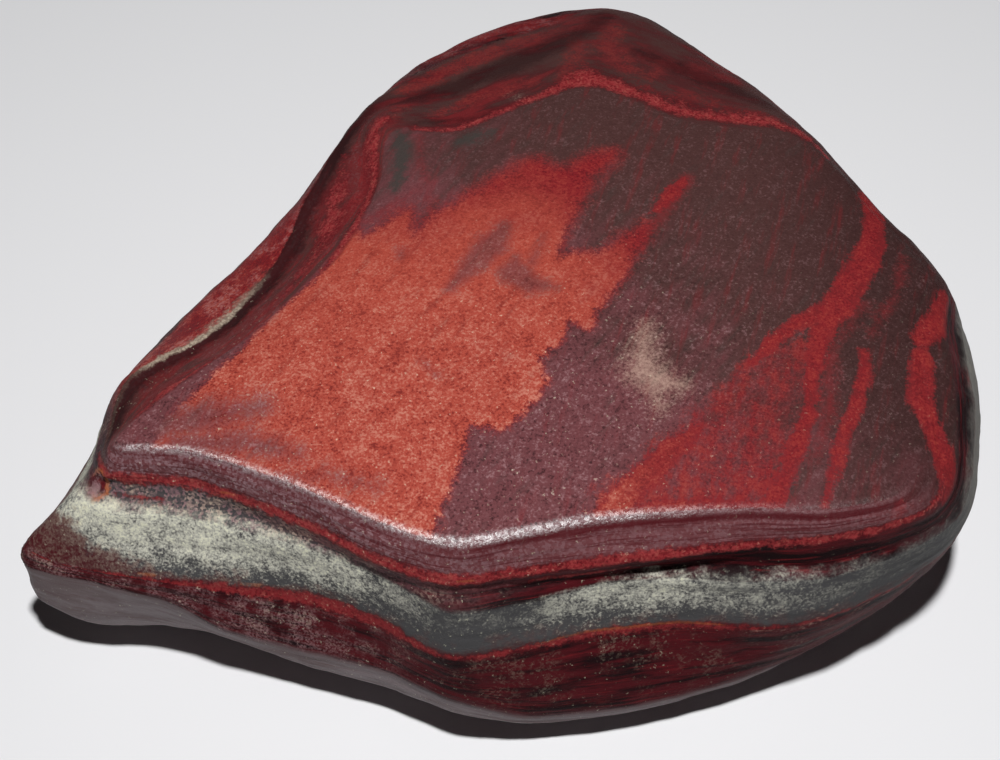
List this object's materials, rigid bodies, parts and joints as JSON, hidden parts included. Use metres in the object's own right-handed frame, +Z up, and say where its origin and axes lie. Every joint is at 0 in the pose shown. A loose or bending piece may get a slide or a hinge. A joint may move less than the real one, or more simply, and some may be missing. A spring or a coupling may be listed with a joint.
{
  "type": "hematite specimen",
  "caption": "Water-worn slab of banded hematite and red jasper, with a flat top, layered flaring sides and a small flat spot it rests on.",
  "frame": {"origin": "centre of the plan box, at the level of the flat spot it rests on", "axes": "+X along its longest extent, +Y towards its rounded apex, +Z up through its flat top, the shortest extent"},
  "size_m": [0.1034, 0.095, 0.0299],
  "materials": {
    "hematite_jasper": "water-worn, satin, with a fine metallic sparkle"
  },
  "bodies": {
    "root": {"stone": "hematite_jasper"}
  },
  "joints": []
}
